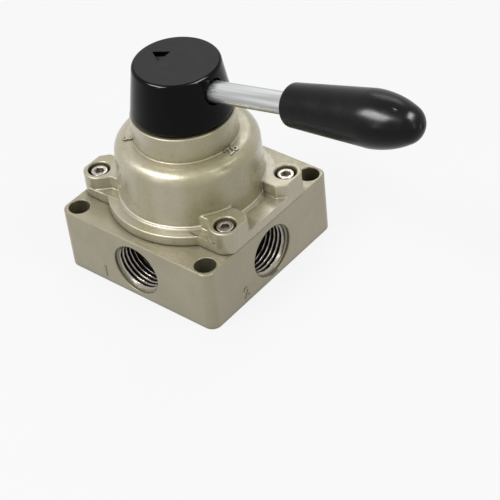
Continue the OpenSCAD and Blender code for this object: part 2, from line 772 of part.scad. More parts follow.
// Threaded brass insert moulded into the grip, with two grooves that hold it.
module grip_insert() {
  r = rod_d / 2 + insert_wall;
  color([0.76, 0.62, 0.30])
  on_lever() translate([0, 0, grip_start + insert_start]) difference() {
    cylinder(r = r, h = insert_len);
    translate([0, 0, -eps]) cylinder(r = rod_d / 2 + seat_fit, h = insert_len + 2 * eps);
    for (s = insert_grooves) translate([0, 0, s * insert_len])
      ring(r + lap, r - insert_groove_depth, insert_groove_w);
  }
}

// Profile of the grip along its axis: a round first edge, a cone, a long side
// arc and a blunt tip arc that meet without a step.
module grip_profile() {
  slope = atan((grip_max_r - grip_start_r) / grip_cone_len);
  edge_y = grip_start_r + grip_edge_r * tan(slope) - grip_edge_r / cos(slope);
  touch_x = grip_edge_r - grip_edge_r * sin(slope);
  touch_y = edge_y + grip_edge_r * cos(slope);
  meet_x = grip_cone_len + (grip_end_len - grip_tip_r) * tip_arc_r / (tip_arc_r - grip_tip_r);
  grip_len = grip_cone_len + grip_end_len;
  difference() {
    square([grip_len, grip_max_r]);
    polygon([[touch_x, touch_y], [grip_cone_len, grip_max_r], [grip_cone_len, grip_max_r + lap],
             [touch_x, grip_max_r + lap]]);
    difference() {
      translate([-lap, edge_y]) square([touch_x + lap, grip_max_r]);
      translate([grip_edge_r, edge_y]) circle(grip_edge_r);
    }
    difference() {
      translate([grip_cone_len, 0]) square([meet_x - grip_cone_len, grip_max_r + lap]);
      translate([grip_cone_len, grip_max_r - tip_arc_r]) circle(tip_arc_r);
    }
    difference() {
      translate([meet_x, -lap]) square([grip_len, grip_max_r + 2 * lap]);
      translate([grip_len - grip_tip_r, 0]) circle(grip_tip_r);
    }
  }
}

// The moulded grip, hollow for the rod and for its insert.
module grip() {
  color([0.06, 0.06, 0.07])
  on_lever() translate([0, 0, grip_start]) difference() {
    rotate_extrude() rotate(90) mirror([0, 1, 0]) grip_profile();
    translate([0, 0, -eps]) cylinder(r = rod_d / 2 + loose, h = rod_in_grip + lap);
    translate([0, 0, insert_start]) cylinder(r = rod_d / 2 + insert_wall + seat_fit, h = insert_len);
  }
}

valve_body();
seat_plate();
seat_pins();
port_seals();
cover_seal();
top_cover();
cover_screws();
spring_washers();
spindle_bush();
spindle_seal();
thrust_washer();
stop_pin();
rotary_disc();
spindle();
drive_pin();
disc_spring();
lever_hub();
hub_washer();
hub_screw();
detent_balls();
detent_springs();
knob();
lever_rod();
grip_insert();
grip();
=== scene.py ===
"""Looks of the hand-lever rotary valve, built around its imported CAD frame.

Sizes are in millimetres until a mesh is made, and the frame is the CAD's own:
+Z up the spindle, the lever along +X, the mounting face on z = 0.
"""

import logging
import math
from collections.abc import Callable, Sequence
from dataclasses import dataclass
from enum import Enum

import bmesh
import bpy
import numpy as np
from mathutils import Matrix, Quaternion, Vector


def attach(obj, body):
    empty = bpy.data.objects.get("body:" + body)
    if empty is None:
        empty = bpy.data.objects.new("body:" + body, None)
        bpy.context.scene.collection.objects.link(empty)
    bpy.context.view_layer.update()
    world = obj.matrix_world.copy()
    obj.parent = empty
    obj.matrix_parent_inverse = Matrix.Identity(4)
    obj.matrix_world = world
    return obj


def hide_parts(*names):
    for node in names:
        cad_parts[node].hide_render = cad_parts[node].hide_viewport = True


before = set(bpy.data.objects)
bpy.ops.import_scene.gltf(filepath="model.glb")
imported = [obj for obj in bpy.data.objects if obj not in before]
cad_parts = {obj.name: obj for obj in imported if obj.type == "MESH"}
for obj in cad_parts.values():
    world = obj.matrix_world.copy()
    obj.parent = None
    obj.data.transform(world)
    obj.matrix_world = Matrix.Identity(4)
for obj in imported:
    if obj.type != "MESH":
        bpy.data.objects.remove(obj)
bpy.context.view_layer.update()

log = logging.getLogger("valve")

Colour = tuple[float, float, float]
Range = tuple[float, float]
Numbers = Sequence[float]
Mask = Callable[[np.ndarray], np.ndarray]
Socket = bpy.types.NodeSocket
Object = bpy.types.Object
Material = bpy.types.Material

MM = 0.001
TURN = 2 * math.pi
WELD = 1e-6  # Points nearer than this, in metres, are one.
NEAR = 0.1  # Slack, in millimetres, when a face or an edge is picked by its place.
MOST: Range = (0.3, 0.7)  # Where most of a noise's values lie.
WHITE = (1.0, 1.0, 1.0, 1.0)
HOUSING, ROTOR = "housing", "rotor"
BLACK, PAINTED = "black_plastic", "painted_cover"  # Groups of pieces with their own lamps.
PORT_TURNS = (0, 90, 180, 270)
# The thread's attribute: how dark it is painted, a painted shade in its grooves and deep in the
# port.
GROOVE_SHADE = "groove"


class Lay(Enum):
    """How a surface was finished: how fast its marks change along X, Y and Z."""

    CUT = (1.0, 1.0, 1.0)
    DRAWN = (0.04, 1.0, 1.0)
    UPRIGHT = (1.0, 1.0, 0.05)


def linear(red: int, green: int, blue: int) -> Colour:
    """A display colour of 0 to 255 as the linear colour that a shader takes.

    Args:
        red: Red as displayed.
        green: Green as displayed.
        blue: Blue as displayed.

    Returns:
        The linear red, green and blue.
    """
    share = np.array([red, green, blue]) / 255
    low, high = share / 12.92, ((share + 0.055) / 1.055) ** 2.4
    return tuple(float(v) for v in np.where(share <= 0.04045, low, high))


def dimmed(colour: Colour, share: float) -> Colour:
    """A linear colour at a share of its brightness."""
    return tuple(share * v for v in colour)


def add_node(
    tree: bpy.types.NodeTree, kind: str, inputs: dict | None = None, **settings: object
) -> bpy.types.Node:
    """Adds one node to a tree.

    Args:
        tree: The node tree.
        kind: The node's type.
        inputs: A value or a socket for each input, by name or number.
        settings: The node's own settings.

    Returns:
        The new node.
    """
    made = tree.nodes.new(kind)
    for key, value in settings.items():
        setattr(made, key, value)
    for key, value in (inputs or {}).items():
        if isinstance(value, Socket):
            tree.links.new(value, made.inputs[key])
        else:
            made.inputs[key].default_value = value
    return made


def maths(tree: bpy.types.NodeTree, way: str, first: Socket, second: Socket | float) -> Socket:
    """Adds or multiplies two values in a tree, held between 0 and 1."""
    settings = {"operation": way, "use_clamp": True}
    return add_node(tree, "ShaderNodeMath", {0: first, 1: second}, **settings).outputs[0]


def cleared(owner: Material | bpy.types.World) -> bpy.types.NodeTree:
    """The node tree of a material or a world, turned on and emptied.

    Args:
        owner: The material or the world.

    Returns:
        Its node tree.
    """
    owner.use_nodes = True
    owner.node_tree.nodes.clear()
    return owner.node_tree


class ShaderSheet:
    """The nodes of one material, with its surface shader joined to the output."""

    def __init__(self, name: str) -> None:
        """Starts an empty material.

        Args:
            name: The material's name.
        """
        self.material = bpy.data.materials.new(name)
        self.tree = cleared(self.material)
        self.shader = self.node("ShaderNodeBsdfPrincipled")
        self.node("ShaderNodeOutputMaterial", {"Surface": self.shader.outputs[0]})
        self.place = self.node("ShaderNodeTexCoord").outputs["Object"]

    def node(self, kind: str, inputs: dict | None = None, **settings: object) -> bpy.types.Node:
        """Adds one node, as add_node does."""
        return add_node(self.tree, kind, inputs, **settings)

    def noise(self, size: float, detail: int, lay: Lay = Lay.CUT, turn: float = 0.0) -> Socket:
        """Noise whose features are about size millimetres across.

        Args:
            size: Width of a feature in millimetres.
            detail: Number of finer layers.
            lay: Draws the features out along an axis.
            turn: Degrees by which the pattern is turned about Y; below 0 its X rises.

        Returns:
            The noise's value socket, from 0 to 1.
        """
        scale, tilt = tuple(1 / v for v in lay.value), (0, math.radians(turn), 0)
        inputs = {"Vector": self.place, "Rotation": tilt, "Scale": scale}
        where = self.node("ShaderNodeMapping", inputs, vector_type="TEXTURE").outputs[0]
        inputs = {"Vector": where, "Scale": 1 / (size * MM), "Detail": detail}
        return self.node("ShaderNodeTexNoise", inputs).outputs[0]

    def span(self, value: Socket, source: Range, target: Range) -> Socket:
        """Maps a value from one range onto another and clamps it there.

        Args:
            value: The value.
            source: The range that it is read in.
            target: The range that it is mapped onto.

        Returns:
            The mapped value.
        """
        inputs = {"Value": value, "From Min": source[0], "From Max": source[1]}
        inputs |= {"To Min": target[0], "To Max": target[1]}
        return self.node("ShaderNodeMapRange", inputs).outputs[0]

    def mix(self, share: Socket, first: Colour | Socket, second: Colour | Socket) -> Socket:
        """Mixes two colours.

        Args:
            share: How much of the second there is, from 0 to 1.
            first: A colour or a socket.
            second: A colour or a socket.

        Returns:
            The mixed colour.
        """
        inputs = {0: share}
        for number, colour in ((6, first), (7, second)):
            inputs[number] = colour if isinstance(colour, Socket) else (*colour, 1)
        return self.node("ShaderNodeMix", inputs, data_type="RGBA").outputs[2]

    def bump(self, height: Socket, depth: float, below: Socket | None = None) -> Socket:
        """Raises the surface, on top of another bump if one is given.

        Args:
            height: The height, from 0 to 1.
            depth: What a height of 1 stands for, in millimetres.
            below: The bump that it lies on.

        Returns:
            The bumped normal.
        """
        inputs = {"Height": height, "Distance": depth * MM, "Strength": 1.0}
        if below is not None:
            inputs["Normal"] = below
        return self.node("ShaderNodeBump", inputs).outputs[0]

    def nook(self, reach: float, inside: bool = False) -> Socket:
        """How open a point is within reach millimetres: 1 in the open, less in a nook.

        Args:
            reach: How far it looks, in millimetres.
            inside: Looks into the solid instead, so that it is low at an edge.

        Returns:
            The openness, from 0 to 1.
        """
        inputs = {"Distance": reach * MM}
        made = self.node("ShaderNodeAmbientOcclusion", inputs, inside=inside, samples=6)
        return made.outputs["AO"]

    def feed(self, **sockets: Socket) -> None:
        """Joins sockets to the shader's inputs; an underscore stands for a space."""
        for key, socket in sockets.items():
            self.tree.links.new(socket, self.shader.inputs[key.replace("_", " ")])

    def fix(self, **values: float) -> None:
        """Sets uniform values on the shader's own inputs."""
        for key, value in values.items():
            self.shader.inputs[key.replace("_", " ")].default_value = value


@dataclass(frozen=True)
class CastPaint:
    """Satin metallic paint on a die casting.

    The tone drifts between colour and shade over broad millimetres. Flakes show the
    lighter edge colour, and edges get it too, partly as rubbed paint and partly as a
    painted highlight. Nooks are darkened towards the shade colour, a painted shade,
    and the gloss is uneven over a fine peel and a wavy casting. Sizes are in millimetres.
    """

    name: str
    colour: Colour
    shade: Colour
    worn: Colour
    roughness: float = 0.36
    metallic: float = 0.4
    coat: float = 0.3
    gloss: float = 0.26
    wear: float = 0.6
    wear_reach: float = 0.45
    lay: Lay = Lay.CUT
    broad: float = 14.0
    flake: float = 0.14
    dirt_reach: float = 2.6
    dirt_share: float = 0.3
    patch: float = 2.6
    peel: float = 0.5
    peel_depth: float = 0.02
    wave: float = 4.5
    wave_depth: float = 0.06

    def build(self) -> Material:
        """Makes the material.

        Returns:
            The material.
        """
        sheet = ShaderSheet(self.name)
        drift = sheet.span(sheet.noise(self.broad, 3, self.lay), (0.38, 0.62), (0, 1))
        tone = sheet.mix(drift, self.colour, self.shade)
        flake = sheet.span(sheet.noise(self.flake, 1), (0.35, 0.75), (0, 0.4))
        tone = sheet.mix(flake, tone, self.worn)
        # Painted shade: nooks darkened towards the dimmed shade colour.
        crease_shade = sheet.span(sheet.nook(self.dirt_reach), (0.2, 0.9), (0.85, 0))
        tone = sheet.mix(crease_shade, tone, dimmed(self.shade, self.dirt_share))
        # Lighter edges: partly rubbed paint, partly a painted highlight.
        edge = sheet.span(sheet.nook(self.wear_reach, inside=True), (0.55, 0.85), (self.wear, 0))
        tone = sheet.mix(edge, tone, self.worn)
        patch = sheet.noise(self.patch, 2)
        rough = sheet.span(patch, MOST, (self.roughness - 0.05, self.roughness + 0.07))
        veil = sheet.span(patch, MOST, (self.gloss - 0.04, self.gloss + 0.05))
        peel = sheet.bump(sheet.noise(self.peel, 1), self.peel_depth)
        wave = sheet.bump(sheet.noise(self.wave, 3), self.wave_depth, peel)
        sheet.feed(Base_Color=tone, Roughness=rough, Coat_Roughness=veil)
        sheet.feed(Normal=wave, Coat_Normal=wave)
        sheet.fix(Metallic=self.metallic, Coat_Weight=self.coat)
        return sheet.material


@dataclass(frozen=True)
class BareMetal:
    """Bare metal with the marks of its last tool, patches of tarnish, and a painted shade that
    darkens it in nooks.

    The marks are mark millimetres wide and follow the lay, and so do the patches
    of tarnish, whose strength is mottle.
    """

    name: str
    colour: Colour
    tarnish: Colour
    roughness: float = 0.28
    lay: Lay = Lay.CUT
    turn: float = 0.0
    mark: float = 0.25
    mark_depth: float = 0.004
    patch_least: float = 1.6
    mottle: float = 0.45
    nook_reach: float = 1.2
    nook_share: float = 0.25

    def build(self) -> Material:
        """Makes the material.

        Returns:
            The material.
        """
        sheet = ShaderSheet(self.name)
        marks = sheet.noise(self.mark, 3, self.lay, self.turn)
        patch = sheet.noise(max(4 * self.mark, self.patch_least), 3, self.lay, self.turn)
        stain = sheet.span(patch, (0.38, 0.68), (0, self.mottle))
        tone = sheet.mix(stain, self.colour, self.tarnish)
        # Painted shade: darker towards a dim tarnish within reach of a nook.
        closed = sheet.span(sheet.nook(self.nook_reach), (0.15, 0.9), (0.9, 0))
        tone = sheet.mix(closed, tone, dimmed(self.tarnish, self.nook_share))
        rough = sheet.span(marks, MOST, (self.roughness - 0.06, self.roughness + 0.1))
        sheet.feed(Base_Color=tone, Roughness=rough, Normal=sheet.bump(marks, self.mark_depth))
        sheet.fix(Metallic=1.0)
        return sheet.material


@dataclass(frozen=True)
class ThreadMetal:
    """Cut thread: bright rounded crests, and dark grooves, darker deep in the port: a painted
    shade.
    """

    name: str
    colour: Colour
    # The colour of the grooves and of the port's depths: painted shade.
    groove: Colour
    roughness: float = 0.24
    groove_roughness: float = 0.6
    patch: float = 3.5
    mark: float = 0.35
    mark_depth: float = 0.006
    nook_reach: float = 9.0

    def build(self) -> Material:
        """Makes the material, which reads the mesh's own groove attribute, its painted shade.

        Returns:
            The material.
        """
        sheet = ShaderSheet(self.name)
        depth = sheet.node("ShaderNodeAttribute", attribute_name=GROOVE_SHADE).outputs["Fac"]
        patch = sheet.span(sheet.noise(self.patch, 3), MOST, (-0.08, 0.08))
        uneven = maths(sheet.tree, "ADD", depth, patch)
        # Grooves painted towards the groove colour: painted shade.
        tone = sheet.mix(sheet.span(uneven, (0.34, 0.66), (0, 1)), self.colour, self.groove)
        rough = sheet.span(uneven, (0.4, 0.7), (self.roughness, self.groove_roughness))
        # Deep in the port, darker again: painted shade.
        closed = sheet.span(sheet.nook(self.nook_reach), (0.1, 0.6), (0.8, 0))
        tone = sheet.mix(closed, tone, self.groove)
        marks = sheet.bump(sheet.noise(self.mark, 3), self.mark_depth)
        sheet.feed(Base_Color=tone, Roughness=rough, Normal=marks)
        sheet.fix(Metallic=1.0)
        return sheet.material


@dataclass(frozen=True)
class MouldedPlastic:
    """Moulded plastic or rubber: even colour, rubbed edges, faint sinks, a fine skin.

    A low bend, which is the index of refraction, keeps black plastic black
    amid the white surround. Sizes are in millimetres.
    """

    name: str
    colour: Colour
    rubbed: Colour
    roughness: float = 0.2
    bend: float = 1.45
    grain: float = 0.3
    grain_depth: float = 0.002
    sink: float = 9.0
    sink_depth: float = 0.02
    scuff: float = 2.2
    rub_reach: float = 0.5
    patch: float = 5.0

    def build(self) -> Material:
        """Makes the material.

        Returns:
            The material.
        """
        sheet = ShaderSheet(self.name)
        scuff = sheet.span(sheet.noise(self.scuff, 4), (0.45, 0.75), (0, 0.5))
        edge = sheet.span(sheet.nook(self.rub_reach, inside=True), (0.5, 0.85), (0.5, 0))
        tone = sheet.mix(edge, sheet.mix(scuff, self.colour, self.rubbed), self.rubbed)
        patch = sheet.noise(self.patch, 4)
        rough = sheet.span(patch, MOST, (self.roughness - 0.04, self.roughness + 0.06))
        skin = sheet.bump(sheet.noise(self.grain, 2), self.grain_depth)
        sink = sheet.bump(sheet.noise(self.sink, 1), self.sink_depth, skin)
        sheet.feed(Base_Color=tone, Roughness=rough, Normal=sink)
        sheet.fix(IOR=self.bend)
        return sheet.material


class Finishes:
    """Every finish of the valve, each made once and kept by its name."""

    def __init__(self) -> None:
        """Makes the materials."""
        plans = [*self.paints(), *self.metals(), *self.plastics()]
        self.made = {plan.name: plan.build() for plan in plans}

    def paints(self) -> list[CastPaint]:
        """The paint of the castings, a darker paint in their holes as painted shade, and lighter
        and darker paints for their cast numbers as painted light and shade.

        Returns:
            A plan for each.
        """
        return [
            CastPaint(
                "cast_paint_block",
                linear(147, 139, 113), linear(139, 131, 103), linear(188, 184, 170),
            ),
            CastPaint(
                "cast_paint_cover",
                # The upright drift paints vertical reflection bands, a painted reflection; the
                # whiter edge colour with its wider reach paints a highlight along the rims.
                linear(158, 150, 124), linear(138, 130, 88), linear(208, 202, 188),
                metallic=0.3, coat=1.0, gloss=0.29, wear=0.5, wear_reach=0.7,
                lay=Lay.UPRIGHT, broad=16,
            ),
            # A darker copy of the paint for holes and mouths: painted shade.
            CastPaint(
                "shaded_hole_paint",
                linear(120, 114, 90), linear(84, 80, 58), linear(150, 145, 120),
                lay=Lay.UPRIGHT, broad=6,
            ),
            # A lighter copy of the cover paint for the numbers' tops: painted light.
            CastPaint(
                "cast_figure_lit",
                linear(172, 166, 143), linear(150, 142, 114), linear(196, 192, 178), wear=0.2,
            ),
            # A darker paint for the numbers' sides: painted shade.
            CastPaint(
                "figure_side_shade",
                linear(96, 91, 68), linear(76, 72, 52), linear(112, 107, 84), wear=0.0,
            ),
        ]

    def metals(self) -> list[BareMetal | ThreadMetal]:
        """The bare metals, from the threads to the smallest pin.

        Returns:
            A plan for each.
        """
        dull = linear(140, 138, 134)
        return [
            ThreadMetal("cut_thread", linear(158, 152, 144), linear(30, 27, 24)),
            # Bare metal painted dark grey deep past the threads: painted shade.
            BareMetal("drilled_bore_shaded", linear(78, 74, 66), linear(46, 44, 38), 0.45),
            BareMetal("plated_screw", linear(186, 180, 170), dull, 0.26, nook_reach=1.6),
            BareMetal("spring_steel", linear(120, 120, 124), linear(84, 84, 88), 0.3),
            BareMetal(
                "lapped_plate", linear(205, 206, 208), dull, 0.16, mark=0.1, mark_depth=0.001
            ),
            BareMetal("pin_steel", linear(190, 190, 192), dull, 0.2),
            BareMetal(
                "bush_bronze", linear(196, 154, 96), linear(128, 92, 52), 0.32, Lay.UPRIGHT
            ),
            BareMetal("disc_aluminium", linear(186, 188, 190), dull, 0.25),
            BareMetal("spindle_steel", linear(196, 197, 200), dull, 0.22),
            BareMetal(
                "hub_zinc", linear(168, 168, 166), linear(118, 118, 116), 0.38,
                mark=0.6, mark_depth=0.01,
            ),
            BareMetal("ball_steel", linear(214, 214, 216), dull, 0.1, mark_depth=0.0005),
            BareMetal(
                "rod_steel", linear(218, 219, 219), linear(140, 142, 142), 0.3,
                Lay.DRAWN, -12, mark=0.5, mark_depth=0.003, mottle=0.8, nook_reach=0.3,
            ),
            BareMetal("insert_brass", linear(206, 172, 104), linear(140, 108, 58), 0.3),
        ]

    def plastics(self) -> list[MouldedPlastic]:
        """The plastics and the seals' rubber.

        Returns:
            A plan for each.
        """
        dull = {"grain": 0.18, "grain_depth": 0.006}
        return [
            MouldedPlastic("seal_rubber", linear(22, 22, 23), linear(48, 48, 50), 0.5, 1.4),
            MouldedPlastic("washer_plastic", linear(228, 224, 212), linear(200, 196, 184), 0.4),
            MouldedPlastic(
                "knob_plastic", linear(4, 4, 5), linear(7, 7, 8), 0.13, 1.19,
                grain_depth=0.0008, sink_depth=0.008,
            ),
            MouldedPlastic("knob_face", linear(40, 40, 40), linear(46, 46, 46), 0.6, 1.2, **dull),
            # A paler copy of the top's plastic for the pointer's floor: painted light.
            MouldedPlastic("knob_recess_lit", linear(60, 60, 60), linear(66, 66, 66), 0.6, 1.2, **dull),
            MouldedPlastic(
                "grip_plastic", linear(10, 10, 10), linear(16, 16, 16), 0.24, 1.24,
                grain_depth=0.0008, sink_depth=0.01,
            ),
        ]

    def coats(self, *names: str) -> list[Material]:
        """The materials of those names."""
        return [self.made[name] for name in names]


def grid_faces(rows: int, columns: int, loop: bool = False) -> np.ndarray:
    """The four-sided faces between rings of points, ring by ring.

    Args:
        rows: Number of rings.
        columns: Number of points in a ring, the last joined to the first.
        loop: Joins the last ring to the first.

    Returns:
        An array of four point numbers a face.
    """
    row = np.arange(rows if loop else rows - 1)[:, None]
    column = np.arange(columns)[None, :]
    below, right = (row + 1) % rows, (column + 1) % columns
    corners = ((row, column), (row, right), (below, right), (below, column))
    return np.stack([(r * columns + c).ravel() for r, c in corners], axis=1)


def ring_points(radius: np.ndarray, height: np.ndarray) -> np.ndarray:
    """Points of rings about Z, ring by ring: (r cos a, r sin a, z) at each angle a.

    Args:
        radius: A row for each ring and a column for each angle, in millimetres.
        height: The rings' heights, as a column.

    Returns:
        The points.
    """
    angle = np.linspace(0, TURN, radius.shape[1], endpoint=False)
    level = np.broadcast_to(height, radius.shape)
    points = np.stack([radius * np.cos(angle), radius * np.sin(angle), level], axis=-1)
    return points.reshape(-1, 3)


def turned_points(profile: np.ndarray, around: int) -> np.ndarray:
    """Points of a turned shape, from the radius and height of each profile point."""
    return ring_points(np.repeat(profile[:, :1], around, axis=1), profile[:, 1:])


def arc(centre: Numbers, radius: float, start: float, end: float, steps: int) -> np.ndarray:
    """Points of an arc: centre plus radius times (cos, sin) from start to end degrees."""
    angle = np.radians(np.linspace(start, end, steps))
    return np.array(centre) + radius * np.stack([np.cos(angle), np.sin(angle)], axis=1)


def show(name: str, data: bpy.types.ID) -> Object:
    """Puts a mesh, a text, a lamp or a camera into the scene, at the origin.

    Args:
        name: The object's name.
        data: What it shows.

    Returns:
        The new object.
    """
    made = bpy.data.objects.new(name, data)
    bpy.context.scene.collection.objects.link(made)
    return made


def pose(made: Object, at: Numbers, turn: Quaternion) -> None:
    """Puts a lamp or a camera in its place.

    Args:
        made: The lamp or the camera.
        at: Its place, in millimetres.
        turn: How it is turned.
    """
    made.location = [v * MM for v in at]
    made.rotation_mode = "QUATERNION"
    made.rotation_quaternion = turn


def smooth(mesh: bpy.types.Mesh, crease: float) -> None:
    """Shades a mesh smooth, but for edges steeper than crease degrees."""
    mesh.shade_smooth()
    mesh.set_sharp_from_angle(angle=math.radians(crease))


def make_mesh(name: str, points: np.ndarray, faces: np.ndarray, crease: float = 35.0) -> Object:
    """Makes a closed piece from points in millimetres and faces.

    Points that coincide, such as those of a pole, are merged, and the faces are
    turned outwards.

    Args:
        name: The piece's name.
        points: Its points.
        faces: Point numbers of each face.
        crease: Edges steeper than this, in degrees, stay sharp.

    Returns:
        The new object, at the origin.
    """
    mesh = bpy.data.meshes.new(name)
    mesh.from_pydata((points * MM).tolist(), [], faces.tolist())
    work = bmesh.new()
    work.from_mesh(mesh)
    bmesh.ops.remove_doubles(work, verts=work.verts, dist=WELD)
    bmesh.ops.recalc_face_normals(work, faces=work.faces)
    work.to_mesh(mesh)
    work.free()
    smooth(mesh, crease)
    return show(name, mesh)


def triples(rows: bpy.types.bpy_prop_collection, key: str) -> np.ndarray:
    """One property of three numbers of each vertex or face.

    Args:
        rows: The mesh's vertices or faces.
        key: The property.

    Returns:
        A row for each.
    """
    flat = np.empty(len(rows) * 3)
    rows.foreach_get(key, flat)
    return flat.reshape(-1, 3)


def choose(piece: Object, numbers: np.ndarray) -> None:
    """Sets the number of the material on each face."""
    piece.data.polygons.foreach_set("material_index", numbers.astype(np.int32))


def moved(points: np.ndarray, turn: np.ndarray, shift: Numbers) -> np.ndarray:
    """Points turned by a matrix and then shifted."""
    return points @ turn.T + np.array(shift)


def about_z(degrees: float) -> np.ndarray:
    """The matrix that turns points about Z."""
    c, s = math.cos(math.radians(degrees)), math.sin(math.radians(degrees))
    return np.array([[c, -s, 0], [s, c, 0], [0, 0, 1]])


def about_y(degrees: float) -> np.ndarray:
    """The matrix that turns points about Y, from Z towards X."""
    c, s = math.cos(math.radians(degrees)), math.sin(math.radians(degrees))
    return np.array([[c, 0, s], [0, 1, 0], [-s, 0, c]])


def dress(piece: Object, body: str, slot: str, coats: list[Material]) -> Object:
    """Gives a piece its materials and its body, and logs the slot that it is painted from.

    Args:
        piece: The piece.
        body: The CAD body that it rides on.
        slot: The record's material slot.
        coats: The piece's materials, in the order of its faces' numbers.

    Returns:
        The piece.
    """
    numbers = np.zeros(len(piece.data.polygons), np.int32)
    piece.data.polygons.foreach_get("material_index", numbers)
    piece.data.materials.clear()
    for material in coats:
        piece.data.materials.append(material)
    choose(piece, numbers)
    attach(piece, body)
    log.info("%s: %d faces on %s, painted from %s", piece.name, len(numbers), body, slot)
    return piece


def group(name: str) -> bpy.types.Collection:
    """The collection of that name, made on first use, to which a lamp can be limited."""
    return bpy.data.collections.get(name) or bpy.data.collections.new(name)


@dataclass
class SoftEdges:
    """A welded copy of a CAD node whose outer edges are rounded.

    Edges steeper than steep degrees are rounded over width millimetres. Where
    flats is set, triangles within flat_within degrees are first made one face.
    """

    node: str
    name: str
    width: float = 0.5
    segments: int = 3
    steep: float = 28.0
    flats: bool = True
    flat_within: float = 0.3

    def weighted(self, mesh: bpy.types.Mesh, wanted: Mask) -> None:
        """Welds a mesh and writes each edge's share of the rounding on it.

        Args:
            mesh: The copy's mesh.
            wanted: As in build.
        """
        work = bmesh.new()
        work.from_mesh(mesh)
        bmesh.ops.remove_doubles(work, verts=work.verts, dist=WELD)
        if self.flats:
            limit = math.radians(self.flat_within)
            bmesh.ops.dissolve_limit(work, angle_limit=limit, verts=work.verts, edges=work.edges)
        middles = np.array([(e.verts[0].co + e.verts[1].co) / 2 for e in work.edges]) / MM
        angles = np.array([e.calc_face_angle(0.0) for e in work.edges])
        shares = np.where(angles > math.radians(self.steep), wanted(middles), 0.0)
        weight = work.edges.layers.float.new("bevel_weight_edge")
        for edge, share in zip(work.edges, shares):
            edge[weight] = float(share)
        work.to_mesh(mesh)
        work.free()

    def build(self, wanted: Mask) -> Object:
        """Makes the copy, which then stands for the node.

        Args:
            wanted: Gives each edge's share of the width from its middle, in millimetres.

        Returns:
            The new object.
        """
        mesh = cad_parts[self.node].data.copy()
        mesh.name = self.name
        self.weighted(mesh, wanted)
        custom = mesh.attributes.get("custom_normal")
        if custom is not None:  # Kept, it would shade the rounded edges as sharp ones.
            mesh.attributes.remove(custom)
        smooth(mesh, self.steep)
        made = show(self.name, mesh)
        bevel = made.modifiers.new("rounded edges", "BEVEL")
        bevel.limit_method = "WEIGHT"
        bevel.width = self.width * MM
        bevel.segments = self.segments
        bevel.use_clamp_overlap = False
        bevel.miter_outer = "MITER_ARC"
        normal = made.modifiers.new("flat faces stay flat", "WEIGHTED_NORMAL")
        normal.keep_sharp = True
        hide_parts(self.node)
        return made


@dataclass
class Block:
    """The cast block with its four threaded ports.

    Its outline runs within border of the sides, and |x| + |y| is past
    corner_reach on its round corners.
    """

    half: float = 36.0
    height: float = 26.4
    port_z: float = 13.0
    mount_at: float = 30.7
    mount_r: float = 4.0
    port_r: float = 10.48
    port_depth: float = 14.0
    edge: float = 0.65
    rim_share: float = 0.6
    border: float = 0.5
    corner_reach: float = 65.9
    wall_slack: float = 0.01

    def rounding(self, at: np.ndarray) -> np.ndarray:
        """Share of the rounding of each edge: the outline, and less at a hole's rim.

        Args:
            at: The edges' middles.

        Returns:
            Their shares, from 0 to 1.
        """
        reach, aside = np.abs(at[:, :2]).max(axis=1), np.abs(at[:, :2]).min(axis=1)
        level = (at[:, 2] < NEAR) | (at[:, 2] > self.height - NEAR)
        hole = np.hypot(reach - self.mount_at, aside - self.mount_at) < self.mount_r + 2 * NEAR
        port = np.hypot(aside, at[:, 2] - self.port_z) < self.port_r + 2 * NEAR
        rim = (level & hole) | (port & (reach > self.half - NEAR))
        outline = (reach > self.half - self.border) | (reach + aside > self.corner_reach)
        return np.where(rim, self.rim_share, (level & outline).astype(float))

    def shell(self, finishes: Finishes) -> Object:
        """The block itself: painted outside, bare and dark where bored, and in a darker paint in
        its holes; both dark finishes are painted shade.

        Args:
            finishes: The finishes.

        Returns:
            The block.
        """
        piece = SoftEdges("valve_body", "block_casting", self.edge).build(self.rounding)
        centre = np.abs(triples(piece.data.polygons, "center") / MM)
        reach, aside = centre[:, :2].max(axis=1), centre[:, :2].min(axis=1)
        bored = np.hypot(aside, centre[:, 2] - self.port_z) < self.port_r + NEAR
        bored &= reach < self.half - self.port_depth + NEAR
        off = np.hypot(centre[:, 0] - self.mount_at, centre[:, 1] - self.mount_at)
        choose(piece, np.where(off < self.mount_r + self.wall_slack, 2, bored))
        coats = finishes.coats("cast_paint_block", "drilled_bore_shaded", "shaded_hole_paint")
        return dress(piece, HOUSING, "cast_paint_block", coats)

    def build(self, finishes: Finishes) -> None:
        """Makes the block and its threads.

        Args:
            finishes: The finishes.
        """
        self.shell(finishes)
        for number, turn in enumerate(PORT_TURNS, 1):
            PortThread(self.half, self.port_z, self.port_depth).build(turn, number, finishes)


